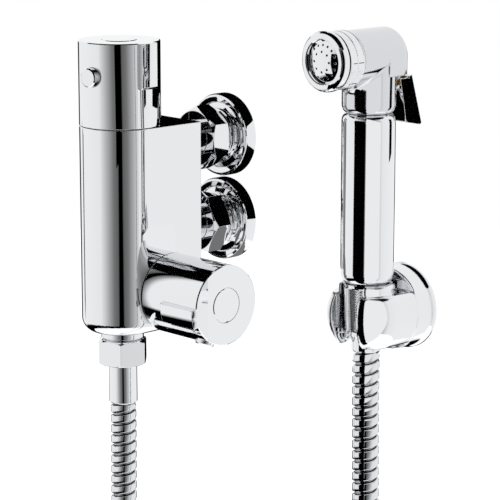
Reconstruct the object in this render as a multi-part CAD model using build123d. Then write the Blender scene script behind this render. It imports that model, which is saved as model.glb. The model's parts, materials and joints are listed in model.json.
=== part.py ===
from build123d import *
import math
import os

# Thermostatic bidet shower kit: wall valve, hose, trigger handset and its wall bracket.
# The wall is the plane Y = 0, the room is at Y < 0, +X runs right along the wall, +Z is up.
# The origin is on the wall plane, on the axis of the valve's upper inlet. Sizes are in mm.

# Layout on the wall
valve_from_wall = 76.0
handset_x = 131.0
handset_from_wall = 28.0
bracket_z = -72.5
head_axis_z = 56.0

# Clearances
slip_gap = 0.1
shaft_gap = 0.06
moving_gap = 0.4

# Valve body
body_r = 21.2
body_back_depth = 37.0
body_top_z = 13.0
body_bottom_z = -96.0
body_bottom_fillet = 7.5
body_top_fillet = 0.6
inlet_bore_r = 6.0
riser_r = 3.0
riser_x = -10.5
riser_back = 12.0

# Unions at the wall
neck_r = 9.6
neck_front_gap = 3.0
union_lip_r = 11.6
union_lip_len = 2.5
union_nut_af = 30.0
union_nut_start = 12.4
union_nut_len = 11.6
union_thread_r = 12.0
connector_bore_r = 7.0
wall_thread_r = 10.4
wall_thread_len = 11.0
connector_stem_r = 9.2
washer_thickness = 2.0
flange_r = 22.2
flange_gap = 1.6
flange_depth = 7.6
flange_wall = 1.4
flange_hub_r = 14.6

# Thermostatic cartridge
chamber_r = 15.5
chamber_floor_z = -32.0
lower_chamber_r = 9.0
lower_chamber_depth = 22.0
housing_wall = 4.4
housing_floor = 3.0
housing_roof_z = 3.0
housing_shoulder_z = 8.0
housing_neck_r = 8.0
housing_neck_top_z = 22.0
cartridge_nut_af = 27.0
cartridge_nut_len = 5.5
port_width = 5.0
port_height = 5.0
wax_r = 6.0
wax_len = 10.0
wax_rim_r = 7.5
wax_rim_len = 1.5
wax_top_z = -12.5
wax_piston_r = 2.0
wax_piston_len = 7.2
shuttle_len = 7.0
pusher_r = 6.5
spindle_r = 5.0
spindle_collar_r = 9.0
spindle_collar_len = 3.2
spindle_top_z = 36.0
flat_cut = 1.0
stop_ring_len = 1.8
stop_wall_len = 2.7
stop_wall_angle = 56.0

# Controls: temperature handle and flow knob
handle_top_z = 57.0
knob_r = 20.9
knob_end_x = 63.0
knob_from_wall = 60.0
knob_z = -75.0
control_wall = 3.0
control_front_wall = 2.2
control_hub_r = 8.0
cap_r = 9.1
cap_len = 3.2
cap_seat = 3.0
screw_head_r = 3.5
screw_head_len = 3.4
screw_r = 2.0
screw_web = 4.0
screw_grip = 9.0
lug_width = 10.0
lug_height = 3.2
handle_lug_len = 23.5
knob_lug_len = 25.0
knob_lug_angle = 10.0
button_r = 4.9
stop_button_proud = 3.8
flow_button_proud = 1.5
button_flange_r = 6.0
button_flange_len = 1.4
button_stem_r = 1.6
button_stem_len = 5.3
handle_button_drop = 17.3
handle_button_angle = 9.0
knob_button_drop = 8.6
knob_button_angle = 70.0
stop_leg_width = 6.0
spring_wire_r = 0.4
spring_steps = 8

# Flow headwork
flow_bore_r = 11.0
flow_seat_x = -8.0
flow_feed_r = 8.0
flow_feed_len = 6.0
headwork_end_x = -6.0
headwork_inner_r = 8.4
headwork_floor_x = 5.5
headwork_nut_af = 22.0
headwork_nut_len = 5.8
headwork_neck_r = 6.8
headwork_neck_end_x = 33.0
disc_r = 8.25
disc_len = 3.0
disc_hole_r = 2.6
disc_hole_reach = 4.8
flow_spindle_r = 4.0
drive_rib_width = 4.0
drive_rib_depth = 1.2
drive_bar_len = 2.4
flow_spindle_reach = 23.0

# Outlet and the hose's valve end
outlet_bore_r = 7.0
outlet_bore_top_z = -70.0
outlet_thread_r = 10.0
outlet_thread_len = 8.0
outlet_collar_r = 11.2
outlet_collar_len = 4.6
hose_nut_af = 24.0
hose_nut_len = 13.4
hose_nut_floor = 3.0
hose_thread_r = 10.2
tail_flange_len = 1.5
ferrule_r = 7.5
ferrule_bore_r = 4.5
valve_ferrule_len = 21.6

# Hose
hose_crest_r = 6.8
hose_root_r = 6.1
hose_bore_r = 4.6
hose_nominal = 1000.0
hose_rib_count = 60
hose_end_straight = 14.0
rib_profile = ((0.15, hose_root_r), (0.3, hose_crest_r), (0.8, hose_crest_r), (0.95, hose_root_r))

# Bracket
bracket_r = 20.8
bracket_step = 0.1
bracket_flange_r = 21.8
bracket_flange_len = 4.5
bracket_flange_round = 3.3
cup_front_depth = 19.0
cup_top_z = -61.2
cup_socket_wall_r = 15.2
cup_edge_round = 2.5
cup_bottom_z = -88.0
cup_ring_r = 14.0
cup_ring_top_z = -56.6
cup_lip_round = 1.5
cup_slot_width = 16.0
cup_slot_mouth = 38.0
cone_top_r = 11.9
cone_bottom_r = 10.6
cone_gap = 0.3
cone_len = 26.5
plate_r = 15.8
plate_len = 3.6
boss_r = 8.0
boss_len = 8.5
fixing_pitch = 22.0
fixing_hole_r = 2.25
fixing_head_r = 4.2
grub_r = 2.0
grub_len = 9.0

# Handset grip and head
grip_r = 13.3
grip_bore_r = 9.5
grip_bottom_z = -56.2
grip_top_z = 28.5
grip_floor = 8.0
end_round_depth = 3.0
end_round_len = 4.2
grip_foot_len = 5.2
grip_thread_r = 10.1
grip_thread_len = 9.0
grip_waterway_r = 5.5
spigot_len = 8.5
o_ring_depth = 1.0
o_ring_len = 1.8
head_r = 13.8
head_back = 16.0
head_front = 17.0
head_back_fillet = 6.0
head_blend = 5.0
hood_lean = 50.0
head_bore_r = 9.0
head_thread_r = 10.9
head_thread_len = 5.6
plunger_axis_z = 38.4
plunger_bore_r = 4.6
plunger_chamber_len = 10.0
outlet_drill_r = 2.8
inlet_drill_r = 3.4
sleeve_inner_r = 2.6
plunger_stem_r = 1.5
plunger_head_r = 3.9
plunger_head_len = 2.0
plunger_seal_len = 1.0
sleeve_sink = 1.2

# Spray end, measured forward from the handset's axis
nozzle_ring_r = 14.2
nozzle_ring_len = 10.6
nozzle_step = 7.2
flute_count = 60
flute_depth = 0.35
bezel_r = 14.7
bezel_gap = 0.5
bezel_len = 4.7
bezel_fillet = 2.2
bezel_opening_r = 10.7
spray_plate_len = 1.3
spray_dome = 2.4
spray_hole_r = 0.55
spray_inner_ring_r = 4.9
spray_inner_count = 8
spray_outer_ring_r = 8.1
spray_outer_count = 16
strainer_len = 1.2
gasket_len = 0.8

# Trigger lever, measured back from the handset's axis
hinge_back = 12.5
hinge_z = 48.0
hinge_pin_r = 1.5
hinge_pin_grip = 4.0
hinge_eye_r = 2.8
tongue_half_width = 4.6
slot_gap = 0.6
trigger_half_width = 12.1
trigger_wall = 1.6
trigger_plate = 2.0
trigger_pad_r = 1.6
trigger_top_back = 17.6
trigger_top_z = 46.6
trigger_tip_back = 25.2
trigger_tip_z = 21.8
cheek_front = 14.2

# Places worked out from the sizes above
valve_y = -valve_from_wall
handset_y = -handset_from_wall
body_back_y = valve_y + body_back_depth
knob_y = -knob_from_wall
handle_base_z = body_top_z + moving_gap
knob_base_x = body_r + moving_gap
inlet_pitch = 2 * flange_r + flange_gap
inlet_heights = {"upper": 0.0, "lower": -inlet_pitch}

upright = (Align.CENTER, Align.CENTER, Align.MIN)
valve_frame = Plane(origin=(0, valve_y, 0), x_dir=(0, -1, 0), z_dir=(0, 0, 1))
knob_frame = Plane(origin=(0, knob_y, knob_z), x_dir=(0, -1, 0), z_dir=(1, 0, 0))
hand_frame = Plane(origin=(handset_x, handset_y, 0), x_dir=(1, 0, 0), z_dir=(0, 0, 1))
spray_frame = Plane(origin=(handset_x, handset_y, head_axis_z), x_dir=(1, 0, 0), z_dir=(0, -1, 0))
bracket_frame = Plane(origin=(handset_x, 0, bracket_z), x_dir=(1, 0, 0), z_dir=(0, -1, 0))
plunger_frame = Plane(origin=(handset_x, handset_y, plunger_axis_z), x_dir=(1, 0, 0), z_dir=(0, 1, 0))
hinge_frame = Plane(origin=(handset_x, handset_y + hinge_back, hinge_z), x_dir=(0, 1, 0), z_dir=(1, 0, 0))


def inlet_frame(height):
    return Plane(origin=(0, 0, height), x_dir=(1, 0, 0), z_dir=(0, -1, 0))


def rod(radius, low, high):
    """A round bar on the local Z axis between two heights."""
    return Pos(0, 0, low) * Cylinder(radius, high - low, align=upright)


def ring(outer, inner, low, high):
    return rod(outer, low, high) - rod(inner, low - 1, high + 1)


def spun(*profile):
    """A closed profile of (radius, height) points turned once round the local Z axis."""
    outline = Plane.XZ * Polyline(*profile, close=True)
    return revolve(make_face(outline), Axis.Z, 360)


def hexagon_bar(across_flats, low, high, vertex_angle=0.0):
    outline = RegularPolygon(across_flats / 2, 6, major_radius=False, rotation=vertex_angle)
    return Pos(0, 0, low) * extrude(outline, high - low)


def chamfered_hexagon(across_flats, low, high, vertex_angle=0.0):
    """A hexagon bar whose corners are turned off at 30 degrees at both ends."""
    corner = across_flats / math.sqrt(3) + 0.01
    flat = across_flats / 2 - 0.3
    drop = (corner - flat) * math.tan(math.radians(30))
    turned = spun((0, low), (flat, low), (corner, low + drop), (corner, high - drop), (flat, high), (0, high))
    return hexagon_bar(across_flats, low, high, vertex_angle) & turned


def polar(shape, count, start=0.0):
    return [Rot(0, 0, start + 360 / count * i) * shape for i in range(count)]


def coil_spring(mean_r, wire_r, low, high, turns):
    """A helical spring whose six-sided wire lies between two heights."""
    rise = high - low - 2 * wire_r
    count = round(turns * spring_steps)
    slope = rise / (2 * math.pi * mean_r * turns)
    sections = []
    for index in range(count + 1):
        angle = 2 * math.pi * index / spring_steps
        outward = Vector(math.cos(angle), math.sin(angle), 0)
        along = Vector(-outward.Y, outward.X, slope)
        centre = outward * mean_r + Vector(0, 0, low + wire_r + rise * index / count)
        sections.append(Plane(origin=centre, x_dir=outward, z_dir=along) * RegularPolygon(wire_r, 6))
    return loft(sections, ruled=True)


def soft_bar(radius, low, high, foot_len):
    """A round bar whose ends are rounded as a quarter ellipse, longer than deep."""
    depth = end_round_depth
    side_low, side_high = low + foot_len, high - end_round_len
    outline = Pos((radius - depth) / 2, (low + high) / 2) * Rectangle(radius - depth, high - low)
    outline += Pos(radius / 2, (side_low + side_high) / 2) * Rectangle(radius, side_high - side_low)
    outline += Pos(radius - depth, side_low) * Ellipse(depth, foot_len)
    outline += Pos(radius - depth, side_high) * Ellipse(depth, end_round_len)
    return revolve(Plane.XZ * outline, Axis.Z, 360)


def flatted(radius, low, high, cut):
    """A round bar with two flats, as on the driven end of a spindle."""
    flats = Pos(0, 0, low) * Box(2 * radius + 2, 2 * (radius - cut), high - low, align=upright)
    return rod(radius, low, high) & flats


parts = {}


def keep(name, shape, frame=None):
    solid = frame.location * shape if frame is not None else shape
    parts[name] = solid


# Valve body: half-round front, flat sides and back, bored for both cartridges.
def valve_body():
    arc_front = valve_y - body_r
    outline = Polyline((-body_r, valve_y), (-body_r, body_back_y), (body_r, body_back_y), (body_r, valve_y))
    outline += ThreePointArc((body_r, valve_y), (0, arc_front), (-body_r, valve_y))
    solid = Pos(0, 0, body_bottom_z) * extrude(make_face(outline), body_top_z - body_bottom_z)
    solid = fillet(solid.faces().sort_by(Axis.Z)[0].edges(), body_bottom_fillet)
    solid = fillet(solid.faces().sort_by(Axis.Z)[-1].edges(), body_top_fillet)
    neck_end = union_nut_start + union_nut_len - neck_front_gap
    for height in inlet_heights.values():
        wall = -body_back_y
        neck = rod(neck_r, neck_end - 0.5, wall + 2)
        lip = rod(union_lip_r, neck_end - 0.5, neck_end - 0.5 + union_lip_len)
        solid += inlet_frame(height).location * (neck + lip)
        solid -= inlet_frame(height).location * rod(inlet_bore_r, 0, valve_from_wall)
    chamber = rod(chamber_r, chamber_floor_z, body_top_z + 1)
    lower = rod(lower_chamber_r, chamber_floor_z - lower_chamber_depth, chamber_floor_z + 1)
    solid -= valve_frame.location * (chamber + lower)
    solid -= Pos(riser_x, valve_y + riser_back, knob_z) * rod(riser_r, 0, chamber_floor_z + 6 - knob_z)
    headwork_bore = rod(flow_bore_r, flow_seat_x, body_r + 1)
    feed = rod(flow_feed_r, flow_seat_x - flow_feed_len, flow_seat_x + 1)
    solid -= knob_frame.location * (headwork_bore + feed)
    outlet = rod(outlet_bore_r, body_bottom_z - 1, outlet_bore_top_z)
    thread = rod(outlet_thread_r, body_bottom_z - 1, body_bottom_z + outlet_thread_len)
    return solid - valve_frame.location * (outlet + thread)


# Union at each inlet: captive nut, washer, wall connector, check valve, filter and flange.
def union_nut():
    end = union_nut_start + union_nut_len
    lip_back = end - neck_front_gap - 0.5 + union_lip_len
    nut = chamfered_hexagon(union_nut_af, union_nut_start, end, 0)
    nut -= rod(neck_r + slip_gap * 2, lip_back - 1, end + 1)
    return nut - rod(union_thread_r, union_nut_start - 1, lip_back)


def wall_connector():
    """Sleeve from the wall: a long male thread into the wall and a wide one under the nut."""
    face = connector_face
    wide = rod(union_thread_r - slip_gap, union_nut_start - 1.5, face)
    stem = rod(wall_thread_r, -wall_thread_len, 0) + rod(connector_stem_r, 0, union_nut_start)
    return wide + stem - rod(connector_bore_r, -wall_thread_len - 1, face + 1)


def flange():
    """Pressed rosette: a hub, a dished face with a ring line, and a rolled rim."""
    bore = wall_thread_r + slip_gap
    back = flange_hub_r - 3.0
    top = union_nut_start - 1.5
    outer = [(bore, top), (flange_hub_r - 1.2, top)]
    outer += [(flange_hub_r - 1.2, top - 1.6), (flange_hub_r, top - 2.2)]
    outer += [(flange_hub_r, flange_depth - 0.6), (flange_r - 4.6, flange_depth - 1.4)]
    outer += [(flange_r - 4.2, flange_depth - 0.7), (flange_r - 1.6, flange_depth - 0.1)]
    outer += [(flange_r - 0.5, flange_depth - 0.6), (flange_r, flange_depth - 1.9), (flange_r, 0)]
    inner = [(flange_r - flange_wall, 0), (flange_r - flange_wall, flange_depth - 2.8)]
    inner += [(back, flange_depth - 2.8), (back, 3.0), (bore, 3.0)]
    return spun(*outer, *inner)


connector_face = union_nut_start + union_nut_len - neck_front_gap - 0.5 - washer_thickness
check_len = 12.0


def check_valve():
    """Non-return cartridge that sits in the connector's bore."""
    back = connector_face - check_len
    shell = ring(connector_bore_r - slip_gap, connector_bore_r - 1.6, back, connector_face)
    spider = rod(1.4, back, connector_face - 4)
    arm = Pos(connector_bore_r / 2, 0, back) * Box(connector_bore_r - 0.6, 1.2, 2, align=upright)
    arms = polar(arm, 3)
    poppet = spun((0, connector_face - 4), (4.6, connector_face - 4), (4.6, connector_face - 3),
                  (2.0, connector_face - 1.6), (0, connector_face - 1.4))
    body = shell + spider + poppet
    for arm in arms:
        body += arm
    return body


def inlet_filter():
    """Dished strainer that lies in the body's neck, with its rim on the washer."""
    start = connector_face + washer_thickness
    disc = ring(inlet_bore_r - slip_gap, inlet_bore_r - 1.4, start, start + 5)
    disc += rod(inlet_bore_r - 0.5, start + 4, start + 5)
    hole = Pos(2.9, 0, 0) * rod(1.0, start + 3, start + 6)
    for cut in polar(hole, 6):
        disc -= cut
    return disc


for level, height in inlet_heights.items():
    frame = inlet_frame(height)
    turn = Rot(0, 0, 30 if level == "upper" else 0)
    keep(level + "_union_nut", turn * union_nut(), frame)
    keep(level + "_wall_connector", wall_connector(), frame)
    keep(level + "_flange", flange(), frame)
keep("valve_body", valve_body())


def at_both_inlets(make):
    return Compound([inlet_frame(height).location * make() for height in inlet_heights.values()])


def union_washer():
    start = connector_face
    return ring(union_lip_r - 0.3, connector_bore_r + 0.4, start, start + washer_thickness)


keep("union_washers", at_both_inlets(union_washer))
keep("check_valves", at_both_inlets(check_valve))
keep("inlet_filters", at_both_inlets(inlet_filter))


# Thermostatic cartridge, from the chamber floor up to the handle.
def cartridge_housing():
    outer_r = chamber_r - slip_gap
    inner_r = outer_r - housing_wall
    floor = chamber_floor_z + housing_floor
    shell = spun((5.5, chamber_floor_z), (outer_r, chamber_floor_z), (outer_r, housing_shoulder_z),
                 (housing_neck_r, housing_shoulder_z), (housing_neck_r, housing_neck_top_z),
                 (spindle_r + shaft_gap, housing_neck_top_z), (spindle_r + shaft_gap, housing_roof_z),
                 (inner_r, housing_roof_z), (inner_r, floor), (5.5, floor))
    port = Pos(outer_r - housing_wall / 2, 0, 0) * Box(housing_wall + 3, port_width, port_height)
    for level in (-1.5, floor + port_height / 2 + 0.5):
        for cut in polar(Pos(0, 0, level) * port, 8):
            shell -= cut
    return shell


def cartridge_nut():
    top = body_top_z + cartridge_nut_len
    nut = rod(chamber_r - slip_gap, housing_shoulder_z, body_top_z)
    nut += chamfered_hexagon(cartridge_nut_af, body_top_z, top)
    return nut - rod(housing_neck_r + slip_gap, housing_shoulder_z - 1, top + 1)


def stop_ring():
    low = body_top_z + cartridge_nut_len
    outer_r = body_r - control_wall - 1.0
    top = low + stop_ring_len
    solid = ring(outer_r, housing_neck_r + slip_gap, low, top)
    wall = ring(outer_r, outer_r - 2.2, top, top + stop_wall_len)
    reach = 2 * body_r
    half = reach * math.tan(math.radians(stop_wall_angle / 2))
    wedge = extrude(make_face(Polyline((0, 0), (half, reach), (-half, reach), close=True)), 2 * body_r)
    return solid + (wall & wedge)


def shuttle():
    inner_r = chamber_r - slip_gap - housing_wall
    top = wax_top_z - wax_rim_len
    low = top - shuttle_len
    land_r = inner_r - 0.15
    groove_r = inner_r - 1.4
    return spun((wax_r + slip_gap, low), (inner_r - 2.0, low), (land_r, low + 1.5), (land_r, low + 2.6),
                (groove_r, low + 2.6), (groove_r, low + 4.4), (land_r, low + 4.4),
                (land_r, top - 1), (inner_r - 1.2, top), (wax_r + slip_gap, top))


def wax_element():
    rim = wax_top_z - wax_rim_len
    low = rim - wax_len
    guide_r = wax_piston_r + 1.4
    body = spun((0, low), (wax_r - 1.5, low), (wax_r, low + 1.5), (wax_r, rim), (wax_rim_r, rim),
                (wax_rim_r, wax_top_z), (guide_r, wax_top_z), (guide_r, wax_top_z + 3), (0, wax_top_z + 3))
    return body + rod(wax_piston_r, wax_top_z, wax_top_z + wax_piston_len)


def overload_pusher():
    seat = wax_top_z + wax_piston_len
    low = seat - 1.3
    stem_r = wax_piston_r + 1.2
    solid = spun((0, low), (stem_r, low), (stem_r, seat - 0.4), (pusher_r, seat - 0.4),
                 (pusher_r, seat + 0.6), (0, seat + 0.6))
    return solid - rod(wax_piston_r + slip_gap, low - 1, seat)


def temperature_spindle():
    collar_top = housing_roof_z - 0.3
    collar = spun((0, collar_top - spindle_collar_len), (spindle_collar_r, collar_top - spindle_collar_len),
                  (spindle_collar_r, collar_top), (0, collar_top))
    driven = housing_neck_top_z + 1.0
    solid = collar + rod(spindle_r, collar_top - 1, driven)
    solid += flatted(spindle_r, driven - 1, spindle_top_z, flat_cut)
    return solid - rod(screw_r + 0.05, spindle_top_z - screw_grip - 3, spindle_top_z + 1)


keep("cartridge_housing", cartridge_housing(), valve_frame)
keep("cartridge_nut", cartridge_nut(), valve_frame)
keep("stop_ring", stop_ring(), valve_frame)
keep("shuttle", shuttle(), valve_frame)
keep("wax_element", wax_element(), valve_frame)
keep("overload_pusher", overload_pusher(), valve_frame)
keep("temperature_spindle", temperature_spindle(), valve_frame)
spring_floor = chamber_floor_z + housing_floor
spring_roof = wax_top_z - wax_rim_len - shuttle_len
keep("return_spring", coil_spring(8.2, 0.7, spring_floor, spring_roof, 4), valve_frame)
overload_low = wax_top_z + wax_piston_len + 0.6
overload_top = housing_roof_z - 0.3 - spindle_collar_len
keep("overload_spring", coil_spring(4.6, 0.5, overload_low, overload_top, 2.5), valve_frame)


# Controls: one function makes the temperature handle and the flow knob.
def control(outer_r, length, hub_start, spindle_end, drive_r, lug_len, lug_angle, button_back, button_angle):
    """A hollow round control with a splined hub, a cap recess, a raised finger lug and a button hole."""
    inner_r = outer_r - control_wall
    bore = drive_r + slip_gap
    recess = length - cap_seat
    well_r = screw_head_r + 1.6
    ceiling = length - control_front_wall
    seat = spindle_end + screw_web
    profile = [(outer_r, 0), (outer_r, length), (cap_r + slip_gap, length), (cap_r + slip_gap, recess)]
    profile += [(well_r, recess), (well_r, seat), (screw_r + 0.3, seat), (screw_r + 0.3, hub_start)]
    profile += [(control_hub_r, hub_start), (control_hub_r, length - 5.6)]
    profile += [(control_hub_r + 3.2, length - 4.4), (control_hub_r + 3.2, ceiling)]
    profile += [(inner_r, ceiling), (inner_r, 0)]
    solid = spun(*profile) - flatted(bore, hub_start - 1, spindle_end + 0.2, flat_cut)
    rim = solid.edges().filter_by(GeomType.CIRCLE).group_by(Axis.Z)[-1].sort_by(SortBy.RADIUS)[-1]
    solid = chamfer(rim, 0.5)
    reach = outer_r + lug_height
    lug = ring(reach, outer_r - 1.0, length - lug_len, length) & (
        Pos(outer_r, 0, length - lug_len / 2) * Box(2 * lug_height + 4, lug_width, lug_len))
    lug = chamfer(lug.faces().sort_by(Axis.Z)[0].edges().sort_by(Axis.X)[-1], 1.2)
    solid += Rot(0, 0, lug_angle) * lug
    hole = Rot(0, 90, 0) * rod(button_r + moving_gap / 2, control_hub_r + 4, outer_r + 2)
    return solid - Rot(0, 0, button_angle) * Pos(0, 0, length - button_back) * hole


def push_button(outer_r, face):
    """Button on the local X axis: chamfered cap, retaining flange and guide stem, at height zero."""
    back = outer_r - control_wall - 1.3
    solid = rod(button_r, back - 0.5, face)
    solid = chamfer(solid.edges().sort_by(Axis.Z)[-1], 0.6)
    solid += rod(button_flange_r, back - button_flange_len, back)
    solid += rod(button_stem_r, back - button_flange_len - button_stem_len, back)
    return Rot(0, 90, 0) * solid


def cap(length, notch=False):
    solid = rod(cap_r, length - cap_seat, length - cap_seat + cap_len)
    solid = chamfer(solid.edges().sort_by(Axis.Z)[-1], 0.4)
    if notch:
        solid -= Pos(0, cap_r, length) * Box(2.4, 1.6, 1.4)
    return solid


def cap_screw(seat, grip_len):
    """Socket screw with its head on the seat."""
    solid = rod(screw_head_r, seat, seat + screw_head_len) + rod(screw_r, seat - grip_len, seat)
    return solid - hexagon_bar(3.0, seat + 1.4, seat + screw_head_len + 1)


def placed_button(shape, frame, angle, height):
    return frame.location * Rot(0, 0, angle) * Pos(0, 0, height) * shape


def button_spring(outer_r):
    back = outer_r - control_wall - 1.3 - button_flange_len
    return Rot(0, 90, 0) * coil_spring(2.6, spring_wire_r, control_hub_r, back, 4)


handle_len = handle_top_z - handle_base_z
handle_hub = housing_neck_top_z + 1.2 - handle_base_z
handle_spindle_end = spindle_top_z - handle_base_z
handle_frame = Plane(origin=(0, valve_y, handle_base_z), x_dir=(0, -1, 0), z_dir=(0, 0, 1))
keep("temperature_handle", control(body_r, handle_len, handle_hub, handle_spindle_end, spindle_r,
                                   handle_lug_len, 90, handle_button_drop, handle_button_angle), handle_frame)
keep("temperature_cap", cap(handle_len), handle_frame)
handle_seat = handle_spindle_end + screw_web
keep("temperature_handle_screw", cap_screw(handle_seat, screw_web + screw_grip), handle_frame)

button_height = handle_len - handle_button_drop
leg_low = body_top_z + cartridge_nut_len + stop_ring_len + stop_wall_len + moving_gap - handle_base_z
leg_back = body_r - control_wall - 1.3
leg = Pos(leg_back - button_flange_len / 2, 0, leg_low - button_height) * Box(
    button_flange_len, stop_leg_width, button_height - leg_low, align=upright)
stop_button = push_button(body_r, body_r + stop_button_proud) + leg
stop_button_place = (handle_frame, handle_button_angle, button_height)
parts["stop_button"] = placed_button(stop_button, *stop_button_place)
parts["stop_button_spring"] = placed_button(button_spring(body_r), *stop_button_place)

knob_len = knob_end_x - knob_base_x
knob_hub = headwork_neck_end_x + 1.2 - knob_base_x
flow_spindle_end_x = knob_base_x + flow_spindle_reach
knob_spindle_end = flow_spindle_end_x - knob_base_x
turned_knob = Plane(origin=(knob_base_x, knob_y, knob_z), x_dir=(0, -1, 0), z_dir=(1, 0, 0))
keep("flow_knob", control(knob_r, knob_len, knob_hub, knob_spindle_end, flow_spindle_r,
                          knob_lug_len, knob_lug_angle, knob_button_drop, knob_button_angle), turned_knob)
keep("flow_cap", cap(knob_len, notch=True), turned_knob)
knob_seat = knob_spindle_end + screw_web
keep("flow_knob_screw", cap_screw(knob_seat, screw_web + screw_grip), turned_knob)
flow_button = push_button(knob_r, knob_r + flow_button_proud)
flow_button_height = knob_len - knob_button_drop
flow_button_place = (turned_knob, knob_button_angle, flow_button_height)
parts["flow_button"] = placed_button(flow_button, *flow_button_place)
parts["flow_button_spring"] = placed_button(button_spring(knob_r), *flow_button_place)


# Flow headwork: brass shell, seat seal, ceramic discs and the driven spindle.
def flow_headwork():
    nut_end = body_r + headwork_nut_len
    solid = rod(flow_bore_r - slip_gap, headwork_end_x, body_r)
    solid += chamfered_hexagon(headwork_nut_af, body_r, nut_end)
    solid += rod(headwork_neck_r, nut_end - 1, headwork_neck_end_x)
    solid -= rod(headwork_inner_r, headwork_end_x - 1, headwork_floor_x)
    solid -= rod(flow_spindle_r + shaft_gap, headwork_floor_x - 1, headwork_neck_end_x + 1)
    window = Pos(flow_bore_r - 1, 0, headwork_floor_x - 2.3) * Box(8, 8, 4)
    for cut in polar(window, 4, 45):
        solid -= cut
    return solid


def ceramic_disc(low, high):
    solid = rod(disc_r, low, high)
    for cut in polar(Pos(disc_hole_reach, 0, 0) * rod(disc_hole_r, low - 1, high + 1), 2):
        solid -= cut
    return solid


def flow_spindle():
    low = headwork_end_x + 2 * disc_len
    bar = Box(drive_rib_width - 0.1, 2 * disc_r - 1, drive_rib_depth + drive_bar_len, align=upright)
    bar = Pos(0, 0, low - drive_rib_depth) * bar
    driven = headwork_neck_end_x + 1.0
    solid = bar + rod(5.4, low, headwork_floor_x - 0.3) + rod(flow_spindle_r, low, driven)
    solid += flatted(flow_spindle_r, driven - 1, flow_spindle_end_x, flat_cut)
    return solid - rod(screw_r + 0.05, flow_spindle_end_x - screw_grip - 3, flow_spindle_end_x + 1)


def turning_disc():
    low = headwork_end_x + disc_len + 0.05
    high = headwork_end_x + 2 * disc_len
    slot = Box(drive_rib_width, 2 * disc_r + 1, drive_rib_depth + 1, align=upright)
    return ceramic_disc(low, high) - Pos(0, 0, high - drive_rib_depth - 0.05) * slot


keep("flow_headwork", flow_headwork(), knob_frame)
keep("flow_seat_seal", ring(flow_bore_r - 0.4, 7.6, flow_seat_x, headwork_end_x), knob_frame)
keep("fixed_ceramic_disc", ceramic_disc(headwork_end_x, headwork_end_x + disc_len), knob_frame)
keep("turning_ceramic_disc", turning_disc(), knob_frame)
keep("flow_spindle", flow_spindle(), knob_frame)

# Outlet spigot and the valve end of the hose. Heights run down from the body's bottom.
spigot_face_z = body_bottom_z - outlet_collar_len
hose_nut_bottom_z = spigot_face_z - hose_nut_len
spigot_end_z = hose_nut_bottom_z + hose_nut_floor + tail_flange_len + washer_thickness
tail_flange_z = hose_nut_bottom_z + hose_nut_floor
hose_start_z = hose_nut_bottom_z - valve_ferrule_len


def outlet_spigot():
    solid = rod(outlet_thread_r - slip_gap, body_bottom_z, body_bottom_z + outlet_thread_len)
    solid += spun((0, spigot_face_z), (outlet_collar_r - 1.2, spigot_face_z),
                  (outlet_collar_r, spigot_face_z + 1.2), (outlet_collar_r, body_bottom_z),
                  (0, body_bottom_z))
    solid += rod(hose_thread_r, spigot_end_z, spigot_face_z + 0.5)
    return solid - rod(outlet_bore_r - 0.5, spigot_end_z - 1, body_bottom_z + outlet_thread_len + 1)


def hose_hex_nut():
    nut = chamfered_hexagon(hose_nut_af, hose_nut_bottom_z, spigot_face_z, nut_vertex_angle)
    nut -= rod(hose_thread_r + slip_gap, tail_flange_z, spigot_face_z + 1)
    return nut - rod(ferrule_r + slip_gap, hose_nut_bottom_z - 1, spigot_face_z)


def ferrule(bottom, top, flange_low):
    """Crimped sleeve with the tail and flange that the hose nut holds."""
    solid = spun((ferrule_bore_r, bottom), (ferrule_r - 0.8, bottom), (ferrule_r, bottom + 0.8),
                 (ferrule_r, top), (ferrule_bore_r, top))
    return solid + ring(hose_thread_r - 0.5, ferrule_bore_r, flange_low, flange_low + tail_flange_len)


def hose_washer(outer_r, low, high):
    return ring(outer_r - 0.3, ferrule_bore_r + 0.6, low, high)


nut_vertex_angle = 45.0
keep("outlet_spigot", outlet_spigot(), valve_frame)
keep("hose_hex_nut", hose_hex_nut(), valve_frame)
tail_top_z = tail_flange_z + tail_flange_len
keep("hose_valve_ferrule", ferrule(hose_start_z, tail_top_z, tail_flange_z), valve_frame)
keep("hose_valve_washer", hose_washer(hose_thread_r, tail_top_z, spigot_end_z), valve_frame)

# Bracket: wall plate, cup with its split socket, and the grub screw that joins them.
socket_top_r = cone_top_r + cone_gap
cone_top_z = grip_bottom_z - moving_gap
cone_bottom_z = cone_top_z - cone_len
cone_slope = (cone_top_r - cone_bottom_r) / cone_len


def cone_radius(z):
    return cone_top_r - cone_slope * (cone_top_z - z)


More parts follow.
